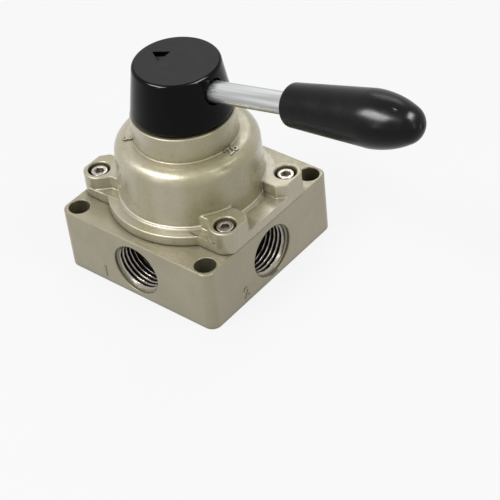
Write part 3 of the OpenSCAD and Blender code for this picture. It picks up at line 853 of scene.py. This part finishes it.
@dataclass
class PortThread:
    """One port's thread, a thin sleeve in the bore, with its painted shade as an attribute.

    Depths are measured from the block's face at half, in millimetres.
    """

    half: float
    port_z: float
    port_depth: float
    start: float = 1.3
    end: float = 13.96
    pitch: float = 1.814
    crest_r: float = 9.32
    root_r: float = 10.44
    sleeve: float = 0.02
    rounded: float = 0.95
    cone: float = 0.9
    runout: float = 1.6
    mouth: float = 0.7
    dark_from: float = 0.2
    dark_over: float = 1.3
    deep_share: float = 0.8
    around: int = 128
    steps: int = 112

    def points(self, turn: float) -> np.ndarray:
        """Points of the sleeve: the threaded side inwards, then its skin outwards.

        At depth d and angle a the bore's radius follows a rounded triangle wave of
        d / pitch - a / 360 degrees, between crest and root. A cone opens it at the
        mouth and the groove runs out at the inner end.

        Args:
            turn: Where the port lies, in degrees about Z.

        Returns:
            The points, ring by ring.
        """
        depth = np.linspace(self.start, self.end, self.steps)[:, None]
        angle = np.linspace(0, TURN, self.around, endpoint=False)[None, :]
        wave = np.sin(TURN * (depth / self.pitch - angle / TURN))
        wave = 0.5 + 0.5 * np.arcsin(self.rounded * wave) / math.asin(self.rounded)
        fade = np.clip((self.end - depth) / self.runout, 0, 1)
        bore = self.crest_r + (self.root_r - self.crest_r) * wave * fade
        bore = np.maximum(bore, self.root_r - (depth - self.start) * self.cone)
        radius = np.concatenate([bore, np.full_like(bore, self.root_r + self.sleeve)])
        along = self.half - np.concatenate([depth, depth[::-1]])
        on_x = np.roll(ring_points(radius, along), 1, axis=1)
        lifted = on_x + np.array([0, 0, self.port_z])
        return moved(lifted, about_z(turn), (0, 0, 0))

    def darkness(self, at: np.ndarray) -> np.ndarray:
        """How dark the thread is painted, a painted shade: by its groove's depth, and more
        so deep in the port.

        The groove's share rises over the first turn. The port's is deep_share
        times the square of how far in a point is.

        Args:
            at: Places on the thread, as distances from the valve's middle planes.

        Returns:
            The darkness at each.
        """
        size = np.hypot(at[:, :2].min(axis=1), at[:, 2] - self.port_z)
        inside = self.half - at[:, :2].max(axis=1)
        started = np.clip((inside - self.start - self.dark_from) / self.dark_over, 0, 1)
        groove = (size - self.crest_r) / (self.root_r - self.crest_r)
        groove *= np.where(started > 0, started, 1)
        return groove + self.deep_share * (inside / self.port_depth) ** 2

    def build(self, turn: float, number: int, finishes: Finishes) -> Object:
        """Makes the thread: bare metal, its mouth in the darker hole paint, a painted shade.

        Args:
            turn: Where the port lies, in degrees about Z.
            number: The port's number.
            finishes: The finishes.

        Returns:
            The thread.
        """
        faces = grid_faces(2 * self.steps, self.around, loop=True)
        piece = make_mesh(f"port_thread_{number}", self.points(turn), faces, 60)
        dark = self.darkness(np.abs(triples(piece.data.vertices, "co") / MM))
        layer = piece.data.attributes.new(GROOVE_SHADE, "FLOAT", "POINT")
        layer.data.foreach_set("value", dark.astype(np.float32))
        centre = np.abs(triples(piece.data.polygons, "center")[:, :2] / MM)
        choose(piece, self.half - centre.max(axis=1) < self.start + self.mouth)
        coats = finishes.coats("cut_thread", "shaded_hole_paint")
        return dress(piece, HOUSING, "cast_paint_block", coats)


@dataclass
class Cover:
    """The cast cover with its bosses, dome and collar."""

    edge: float = 0.5
    base_z: float = 26.4
    flange_from: float = 25.0
    flange_to_z: float = 50.0
    collar_from: float = 15.5
    collar_from_z: float = 53.0

    def rounding(self, at: np.ndarray) -> np.ndarray:
        """Share of the rounding of each edge: all of it outside, none within.

        Args:
            at: The edges' middles.

        Returns:
            Their shares, 0 or 1.
        """
        radius, height = np.hypot(at[:, 0], at[:, 1]), at[:, 2]
        flange = (radius > self.flange_from) & (height < self.flange_to_z)
        flange &= height > self.base_z - NEAR
        collar = (radius > self.collar_from) & (height > self.collar_from_z)
        return (flange | collar).astype(float)

    def build(self, finishes: Finishes) -> Object:
        """Makes the cover, rounded on every outer edge.

        Args:
            finishes: The finishes.

        Returns:
            The cover.
        """
        edges = SoftEdges("top_cover", "cover_casting", self.edge, flats=False)
        piece = edges.build(self.rounding)
        return dress(piece, HOUSING, "cast_paint_cover", finishes.coats("cast_paint_cover"))


@dataclass
class CoverScrews:
    """Four socket head screws."""

    x: float = 30.5
    y: float = 17.8
    seat_z: float = 31.2
    head_r: float = 3.25
    head_h: float = 4.0
    edge: float = 0.45
    edge_bends: Numbers = (25.0, 50.0, 75.0, 90.0)
    shank_r: float = 2.0
    length: float = 14.0
    socket_af: float = 3.3
    socket_depth: float = 2.0
    socket_cone: float = 0.35
    cone_shares: Numbers = (0.5, 0.97)
    socket_foot: float = 0.1
    socket_lip: float = 0.2
    chamfer: float = 0.3
    around: int = 96
    knurls: int = 32
    knurl_depth: float = 0.05
    knurl_top: float = 0.25
    knurl_foot: float = 0.3
    foot_break: float = 0.2
    point: float = 0.3
    point_share: float = 0.7
    spots: Sequence[tuple[int, int, float]] = ((1, -1, 12), (1, 1, -8), (-1, 1, 25), (-1, -1, 3))

    def screw(self) -> np.ndarray:
        """Points of one screw, ring by ring from the socket's middle to the tip.

        A ring has radius r at angle a. In the socket r is half the flats divided by
        the cosine of a's distance from the nearest flat's middle, and on the head's
        side r swings by the knurl's depth.

        Returns:
            The points, with the seat at height 0.
        """
        angle = np.linspace(0, TURN, self.around, endpoint=False)
        flat = self.socket_af / 2 / np.cos((angle + math.pi / 6) % (math.pi / 3) - math.pi / 6)
        knurl = self.head_r + self.knurl_depth * np.cos(self.knurls * angle)
        one, top = np.ones_like(angle), self.head_h
        floor, inner, shank = top - self.socket_depth, self.head_r - self.edge, self.shank_r
        rings = [(0 * one, floor - self.socket_cone)]
        rings += [(flat * s, floor - self.socket_cone * (1 - s)) for s in self.cone_shares]
        rings += [(flat, floor + self.socket_foot), (flat, top - self.socket_lip)]
        rings += [(flat + self.chamfer, top), (inner * one, top)]
        for bend in np.radians(self.edge_bends):
            radius = inner + self.edge * math.sin(bend)
            rings += [(radius * one, top - self.edge + self.edge * math.cos(bend))]
        rings += [(knurl, top - self.edge - self.knurl_top), (knurl, self.knurl_foot)]
        rings += [((self.head_r - self.foot_break) * one, 0.0), (shank * one, 0.0)]
        rings += [(shank * one, self.point - self.length)]
        rings += [(self.point_share * shank * one, -self.length), (0 * one, -self.length)]
        return ring_points(np.stack([r for r, _ in rings]), np.array([[z] for _, z in rings]))

    def build(self, finishes: Finishes) -> Object:
        """Makes the four screws as one piece, each turned by its own amount.

        Args:
            finishes: The finishes.

        Returns:
            The screws.
        """
        one = self.screw()
        face = grid_faces(len(one) // self.around, self.around)
        points, faces = [], []
        for number, (side_x, side_y, turn) in enumerate(self.spots):
            spot = (side_x * self.x, side_y * self.y, self.seat_z)
            points.append(moved(one, about_z(turn), spot))
            faces.append(face + number * len(one))
        piece = make_mesh("cover_screw_set", np.concatenate(points), np.concatenate(faces), 30)
        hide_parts("cover_screws")
        return dress(piece, HOUSING, "plated_screw", finishes.coats("plated_screw"))


@dataclass
class Knob:
    """The moulded knob over the hub, with a pointer sunk in its top."""

    bottom_z: float = 64.5
    top_z: float = 84.9
    edge: float = 0.45
    lip_r: float = 18.0
    lip_share: float = 0.5
    hole_r: float = 14.8
    hole_x: float = 10.0
    hole_from_z: float = 65.5
    hole_share: float = 0.6
    pointer_r: float = 13.0
    pointer_share: float = 0.4
    pointer_slack: float = 0.05
    recess_least: float = 1.0
    recess_most: float = 3.0
    flat_tilt: float = 0.96

    def rounding(self, at: np.ndarray) -> np.ndarray:
        """Share of the rounding of each edge: the pointer, the rod's hole, the lip.

        Args:
            at: The edges' middles.

        Returns:
            Their shares, from 0 to 1.
        """
        radius, height = np.hypot(at[:, 0], at[:, 1]), at[:, 2]
        lip = (height < self.bottom_z + NEAR) & (radius > self.lip_r)
        hole = (radius > self.hole_r) & (at[:, 0] > self.hole_x) & (height > self.hole_from_z)
        pointer = (height > self.top_z - self.pointer_slack) & (radius < self.pointer_r)
        rest = np.where(hole, self.hole_share, self.lip_share * lip)
        return np.where(pointer, self.pointer_share, rest)

    def build(self, finishes: Finishes) -> Object:
        """Makes the knob: glossy sides, a dull top, and the pointer's floor in a paler plastic, a
        painted light against the recess's shade.

        Args:
            finishes: The finishes.

        Returns:
            The knob.
        """
        edges = SoftEdges("knob", "lever_knob", self.edge, flats=False)
        piece = edges.build(self.rounding)
        below = self.top_z - triples(piece.data.polygons, "center")[:, 2] / MM
        flat = triples(piece.data.polygons, "normal")[:, 2] > self.flat_tilt
        top = flat & (below < self.recess_most)
        choose(piece, top.astype(int) + (top & (below > self.recess_least)))
        coats = finishes.coats("knob_plastic", "knob_face", "knob_recess_lit")
        return dress(piece, ROTOR, "knob_plastic", coats)


@dataclass
class Lever:
    """The steel rod and its moulded grip, both turned about the tilted lever axis."""

    axis_z: float = 74.2
    tilt: float = 12.0
    rod_r: float = 4.0
    rod_from: float = -8.0
    rod_to: float = 74.5
    rod_edge: float = 0.5
    rod_steps: int = 40
    rod_around: int = 96
    grip_start: float = 52.5
    cone_len: float = 34.5
    end_len: float = 19.4
    start_r: float = 7.6
    max_r: float = 9.9
    tip_r: float = 7.0
    edge_r: float = 1.6
    bore_r: float = 4.2
    bore_depth: float = 23.0
    mouth_r: float = 5.2
    edge_steps: int = 10
    cone_steps: int = 24
    side_steps: int = 40
    tip_steps: int = 36
    skin_from: float = 5.4
    seam: float = 0.05
    seam_angle: float = 0.02
    gate_at: float = 46.7
    gate_turn: float = -156.0
    gate_len: float = 1.5
    gate_width: float = 0.45
    gate_depth: float = 0.3
    tip_mark_r: float = 0.9
    tip_mark_depth: float = 0.3
    around: int = 240

    def placed(self, points: np.ndarray) -> np.ndarray:
        """Lays points drawn along +Z on the lever axis."""
        return moved(points, about_y(90 - self.tilt), (0, 0, self.axis_z))

    def rod(self, finishes: Finishes) -> Object:
        """The rod: a turned bar with broken edges at both ends.

        Args:
            finishes: The finishes.

        Returns:
            The rod.
        """
        first, last, inner = self.rod_from, self.rod_to, self.rod_r - self.rod_edge
        line = np.linspace(first + self.rod_edge, last - self.rod_edge, self.rod_steps)
        bar = np.stack([np.full_like(line, self.rod_r), line], axis=1)
        near, far = [[0, first], [inner, first]], [[inner, last], [0, last]]
        profile = np.concatenate([near, bar, far])
        points = self.placed(turned_points(profile, self.rod_around))
        piece = make_mesh("lever_bar", points, grid_faces(len(profile), self.rod_around))
        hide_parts("lever_rod")
        return dress(piece, ROTOR, "rod_steel", finishes.coats("rod_steel"))

    def grip_profile(self) -> np.ndarray:
        """The grip's section, from the rod's bore round to the tip.

        A round first edge, a cone, a long side arc and a blunt tip arc follow each
        other, and the arcs meet where their slopes agree.

        Returns:
            Radius and height of each point, in millimetres.
        """
        slope = math.atan((self.max_r - self.start_r) / self.cone_len)
        edge_y = self.start_r + self.edge_r * math.tan(slope) - self.edge_r / math.cos(slope)
        beyond, drop = self.end_len - self.tip_r, self.max_r - self.tip_r
        side_r = (beyond**2 + self.max_r**2 - self.tip_r**2) / (2 * drop)
        meet = math.degrees(math.asin(beyond / (side_r - self.tip_r)))
        length = self.cone_len + self.end_len
        bore = [[self.bore_depth, 0], [self.bore_depth, self.bore_r]]
        bore += [[0, self.bore_r], [0, self.mouth_r]]
        centre, end = (self.edge_r, edge_y), 90 + math.degrees(slope)
        start = arc(centre, self.edge_r, 180, end, self.edge_steps)
        share = np.linspace(0, 1, self.cone_steps)[1:-1, None]
        cone = start[-1] * (1 - share) + np.array([self.cone_len, self.max_r]) * share
        centre = (self.cone_len, self.max_r - side_r)
        side = arc(centre, side_r, 90, 90 - meet, self.side_steps)
        tip = arc((length - self.tip_r, 0), self.tip_r, 90 - meet, 0, self.tip_steps)[1:]
        return np.concatenate([bore, start, cone, side, tip])[:, ::-1]

    def grip(self, finishes: Finishes) -> Object:
        """The grip, with the fine seam of its two-part mould along both sides.

        The mould left a long dent where the plastic went in and a round one at the
        tip. Each is a bell curve: depth times exp(-(distance / size)^2).

        Args:
            finishes: The finishes.

        Returns:
            The grip.
        """
        profile = self.grip_profile()
        points = turned_points(profile, self.around).reshape(len(profile), self.around, 3)
        angle = np.linspace(0, TURN, self.around, endpoint=False)
        from_seam = np.abs(np.angle(np.exp(2j * (angle - math.pi / 2)))) / 2
        ridge = self.seam * np.exp(-((from_seam / self.seam_angle) ** 2))
        size, along = np.hypot(points[..., 0], points[..., 1]), points[..., 2].copy()
        from_gate = np.angle(np.exp(1j * (angle - math.radians(self.gate_turn)))) * size
        gate = ((along - self.gate_at) / self.gate_len) ** 2 + (from_gate / self.gate_width) ** 2
        dent = self.gate_depth * np.exp(-gate)
        skin, safe = size > self.skin_from, np.maximum(size, 1)
        grow = np.where(skin, (1 + ridge / safe) * (1 - dent / safe), 1)
        points[..., :2] *= grow[..., None]
        tip_mark = self.tip_mark_depth * np.exp(-((size / self.tip_mark_r) ** 2))
        points[..., 2] -= np.where(along > self.bore_depth + NEAR, tip_mark, 0)
        points[..., 2] += self.grip_start
        faces = grid_faces(len(profile), self.around)
        piece = make_mesh("lever_grip", self.placed(points.reshape(-1, 3)), faces, 40)
        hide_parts("grip")
        return dress(piece, ROTOR, "grip_plastic", finishes.coats("grip_plastic"))

    def build(self, finishes: Finishes) -> Object:
        """Makes the rod and the grip, and returns the grip."""
        self.rod(finishes)
        return self.grip(finishes)


@dataclass
class Figures:
    """Plain cast numbers on the block's faces and on the cover's shoulder.

    The shoulder is flat up to the radius flat_r and then falls off over an arc.
    """

    port_height: float = 4.8
    shoulder_height: float = 3.7
    digit_share: float = 0.7
    relief: float = 0.5
    rim: float = 0.06
    bold: float = 0.04
    proud: float = 0.2
    step: float = 0.5
    cuts: int = 3
    crease: float = 40.0
    side_tilt: float = 0.5
    port_x: float = -16.4
    port_z: float = 4.9
    face: float = 36.0
    shoulder_z: float = 53.9
    shoulder_r: float = 21.6
    flat_r: float = 21.9
    arc_r: float = 5.2
    lift: float = 0.15
    shoulder: Sequence[tuple[str, str, float]] = (
        ("left", "3", -136), ("middle", "2", 180), ("right", "1", 136), ("front", "26", 0),
    )

    def figure(self, text: str, height: float, name: str) -> Object:
        """A number as a closed raised mesh, flat on XY and centred, in metres.

        Args:
            text: The digits.
            height: Their height in millimetres.
            name: The piece's name.

        Returns:
            The number, cut fine enough to be bent.
        """
        curve = bpy.data.curves.new(name, "FONT")
        curve.body = text
        curve.size = height * MM / self.digit_share
        curve.align_x, curve.align_y = "CENTER", "CENTER"
        curve.extrude = self.relief * MM / 2
        curve.offset = self.bold * MM
        curve.bevel_depth = self.rim * MM
        curve.bevel_resolution = 2
        source = show(name, curve)
        bpy.context.view_layer.update()
        solid = source.evaluated_get(bpy.context.evaluated_depsgraph_get())
        mesh = bpy.data.meshes.new_from_object(solid)
        mesh.name = name
        work = bmesh.new()
        work.from_mesh(mesh)
        for _ in range(self.cuts):
            long = [edge for edge in work.edges if edge.calc_length() > self.step * MM]
            bmesh.ops.subdivide_edges(work, edges=long, cuts=1)
            wide = [face for face in work.faces if len(face.verts) > 3]
            bmesh.ops.triangulate(work, faces=wide)
        bmesh.ops.remove_doubles(work, verts=work.verts, dist=WELD)
        work.to_mesh(mesh)
        work.free()
        bpy.data.objects.remove(source)
        return show(name, mesh)

    def place(self, piece: Object, turn: np.ndarray, shift: Numbers, bent: bool) -> None:
        """Moves a number's points to their place and picks out its sides for a darker paint, a
        painted shade.

        Args:
            piece: The number.
            turn: The matrix that turns it.
            shift: Where it then goes, in millimetres.
            bent: Bends it down over the shoulder's arc.
        """
        points = moved(triples(piece.data.vertices, "co") / MM, turn, shift)
        if bent:
            past = np.hypot(points[:, 0], points[:, 1]) - self.flat_r
            fall = self.arc_r - np.sqrt(self.arc_r**2 - np.clip(past, 0, self.arc_r) ** 2)
            points[:, 2] += self.lift - fall
        piece.data.vertices.foreach_set("co", (points * MM).ravel())
        piece.data.update()
        choose(piece, triples(piece.data.polygons, "normal") @ turn[:, 2] < self.side_tilt)
        smooth(piece.data, self.crease)

    def build(self, finishes: Finishes) -> None:
        """Makes the four port numbers and the shoulder's numbers.

        Args:
            finishes: The finishes.
        """
        upright = np.array([[1.0, 0, 0], [0, 0, -1.0], [0, 1.0, 0]])
        out = self.face + self.proud - self.relief / 2 - self.rim
        # Port numbers: the darker hole paint on their faces and a darker paint on their sides, both
        # painted shade.
        coats = finishes.coats("shaded_hole_paint", "figure_side_shade")
        for number, degrees in enumerate(PORT_TURNS, 1):
            piece = self.figure(str(number), self.port_height, f"port_figure_{number}")
            turn, spot = about_z(degrees), np.array([self.port_x, -out, self.port_z])
            self.place(piece, turn @ upright, turn @ spot, bent=False)
            dress(piece, HOUSING, "cast_paint_block", coats)
        # Shoulder numbers: lighter tops, a painted highlight, and darker sides, a painted shade.
        coats = finishes.coats("cast_figure_lit", "figure_side_shade")
        for name, text, degrees in self.shoulder:
            piece = self.figure(text, self.shoulder_height, f"shoulder_figure_{name}")
            turn, spot = about_z(degrees), np.array([self.shoulder_r, 0, self.shoulder_z])
            self.place(piece, turn @ about_z(90), turn @ spot, bent=True)
            dress(piece, HOUSING, "cast_paint_cover", coats)


@dataclass
class InnerWorks:
    """The CAD nodes inside the valve, which keep their shape and get a finish."""

    nodes: Sequence[tuple[str, Sequence[str]]] = (
        ("lapped_plate", ("seat_plate",)),
        ("pin_steel", ("seat_pins", "stop_pin", "drive_pin", "hub_washer")),
        ("seal_rubber", ("port_seals", "cover_seal", "spindle_seal")),
        ("spring_steel", ("spring_washers", "disc_spring", "detent_springs")),
        ("bush_bronze", ("spindle_bush",)),
        ("washer_plastic", ("thrust_washer",)),
        ("disc_aluminium", ("rotary_disc",)),
        ("spindle_steel", ("spindle",)),
        ("hub_zinc", ("lever_hub",)),
        ("plated_screw", ("hub_screw",)),
        ("ball_steel", ("detent_balls",)),
        ("insert_brass", ("grip_insert",)),
    )

    def build(self, finishes: Finishes) -> None:
        """Gives each inner node the finish that its slot is named for.

        Args:
            finishes: The finishes.
        """
        for slot, names in self.nodes:
            for name in names:
                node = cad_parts[name]
                node.data.materials.clear()
                node.data.materials.append(finishes.made[slot])
                log.info("%s: CAD node, painted from %s", name, slot)


@dataclass(frozen=True)
class Lamp:
    """An area lamp that faces the valve.

    Its place and its width and height are in millimetres and its power in watts.
    A lamp with an only lights that group of pieces, and only in reflections, as a
    large softbox close to them would.
    """

    name: str
    at: Numbers
    size: Numbers
    power: float
    only: str = ""
    colour: Colour = (1.0, 1.0, 1.0)
    aim: Numbers = (20.0, 0.0, 45.0)

    def build(self) -> None:
        """Makes the lamp."""
        data = bpy.data.lights.new(self.name, "AREA")
        data.shape = "RECTANGLE"
        data.size, data.size_y = self.size[0] * MM, self.size[1] * MM
        data.energy = self.power
        data.color = self.colour
        made = show(self.name, data)
        way = Vector(np.array(self.aim) - np.array(self.at))
        pose(made, self.at, way.to_track_quat("-Z", "Y"))
        if self.only:
            made.visible_diffuse = False
            made.light_linking.receiver_collection = group(self.only)


@dataclass
class Studio:
    """Camera, floor, lamps and world."""

    camera_at: Numbers = (339.754, -341.562, 403.588)
    camera_turn: Numbers = (0.863235, 0.381242, 0.175068, 0.280768)
    lens: float = 117.27
    sensor: float = 36.0
    clip: Range = (0.01, 20.0)
    floor_half: float = 3000.0
    floor_z: float = -0.02
    floor_grey: Numbers = (0.55, 0.55, 0.55, 1.0)
    floor_share: float = 0.86
    sky: Numbers = (0.96, 0.98, 1.0, 1.0)
    ambient: float = 0.36
    lamps: Sequence[Lamp] = (
        Lamp("key", (-155, -475, 720), (420, 100), 3.5),
        Lamp("right", (475, 155, 720), (340, 90), 1.9),
        Lamp("back", (-300, 560, 640), (380, 300), 1.2),
        Lamp("left strip", (-60, -640, 300), (50, 400), 0.5),
        Lamp("right strip", (640, -20, 300), (50, 400), 0.5),
        Lamp("key shine", (-202, -499, 573), (420, 240), 13, BLACK),
        Lamp("right shine", (430, 140, 650), (400, 320), 11, BLACK),
        Lamp("cover shine", (-155, -475, 720), (820, 260), 7, PAINTED, (0.93, 0.93, 1.0)),
    )

    def camera(self) -> None:
        """Puts the camera at the photograph's place."""
        data = bpy.data.cameras.new("view")
        data.lens, data.sensor_width, data.sensor_fit = self.lens, self.sensor, "HORIZONTAL"
        data.clip_start, data.clip_end = self.clip
        made = show("view", data)
        pose(made, self.camera_at, Quaternion(self.camera_turn))
        bpy.context.scene.camera = made

    def seen(self, tree: bpy.types.NodeTree) -> Socket:
        """Tells what is looked at from what only gives light.

        Args:
            tree: The tree of a material or a world.

        Returns:
            1 for camera, glossy and transmission rays, 0 for the others.
        """
        path = add_node(tree, "ShaderNodeLightPath")
        total = path.outputs["Is Camera Ray"]
        for name in ("Is Glossy Ray", "Is Transmission Ray"):
            total = maths(tree, "ADD", total, path.outputs[name])
        return total

    def floor(self) -> None:
        """A wide pale floor that looks white and keeps the valve's soft shadow."""
        h, z = self.floor_half, self.floor_z
        points = np.array([[-h, -h, z], [h, -h, z], [h, h, z], [-h, h, z]])
        mesh = bpy.data.meshes.new("floor")
        mesh.from_pydata((points * MM).tolist(), [], [[0, 1, 2, 3]])
        made = show("floor", mesh)
        material = bpy.data.materials.new("floor_white")
        tree = cleared(material)
        matt = add_node(tree, "ShaderNodeBsdfDiffuse", {"Color": self.floor_grey}).outputs[0]
        glow = add_node(tree, "ShaderNodeEmission", {"Color": WHITE}).outputs[0]
        share = maths(tree, "MULTIPLY", self.seen(tree), self.floor_share)
        blend = add_node(tree, "ShaderNodeMixShader", {0: share, 1: matt, 2: glow}).outputs[0]
        add_node(tree, "ShaderNodeOutputMaterial", {"Surface": blend})
        mesh.materials.append(material)

    def world(self) -> None:
        """A white surround to look at, and a softer one to light by."""
        world = bpy.data.worlds.new("surround")
        tree = cleared(world)
        inputs = {"Color": self.sky, "Strength": self.ambient}
        lit = add_node(tree, "ShaderNodeBackground", inputs).outputs[0]
        plain = add_node(tree, "ShaderNodeBackground", {"Color": WHITE}).outputs[0]
        inputs = {0: self.seen(tree), 1: lit, 2: plain}
        blend = add_node(tree, "ShaderNodeMixShader", inputs).outputs[0]
        add_node(tree, "ShaderNodeOutputWorld", {"Surface": blend})
        bpy.context.scene.world = world

    def build(self) -> None:
        """Makes the camera, the floor and the light."""
        self.camera()
        self.floor()
        self.world()
        for lamp in self.lamps:
            lamp.build()
        bpy.context.scene.view_settings.view_transform = "Standard"


def main() -> None:
    """Builds the studio and then the valve, piece by piece."""
    logging.basicConfig(level=logging.INFO, format="%(name)s: %(message)s")
    Studio().build()
    finishes = Finishes()
    InnerWorks().build(finishes)
    Block().build(finishes)
    group(PAINTED).objects.link(Cover().build(finishes))
    CoverScrews().build(finishes)
    group(BLACK).objects.link(Knob().build(finishes))
    group(BLACK).objects.link(Lever().build(finishes))
    Figures().build(finishes)


if __name__ == "__main__":
    main()
